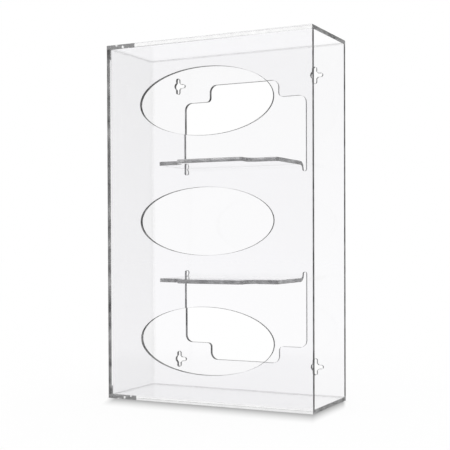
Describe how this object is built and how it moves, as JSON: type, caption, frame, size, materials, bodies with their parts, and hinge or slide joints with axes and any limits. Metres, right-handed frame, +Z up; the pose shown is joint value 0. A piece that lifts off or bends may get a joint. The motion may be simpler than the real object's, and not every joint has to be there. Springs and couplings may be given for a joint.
{
  "type": "disposable glove dispenser",
  "caption": "Clear acrylic side-loading dispenser that holds stacked boxes of disposable gloves on folded shelves behind oval hand openings.",
  "frame": {"origin": "centre of the bounding box at the base, on the surface that the dispenser stands on", "axes": "+Z up, -Y out of the front panel with the ovals, +Y into the wall behind, +X to the open right side"},
  "size_m": [0.27, 0.106, 0.432],
  "materials": {
    "clear_acrylic": "clear cast acrylic sheet with polished faces and finely machined, flame-polished edges"
  },
  "bodies": {
    "root": {"front_panel": "clear_acrylic", "back_panel": "clear_acrylic", "left_panel": "clear_acrylic", "top_panel": "clear_acrylic", "bottom_panel": "clear_acrylic"}
  },
  "joints": []
}
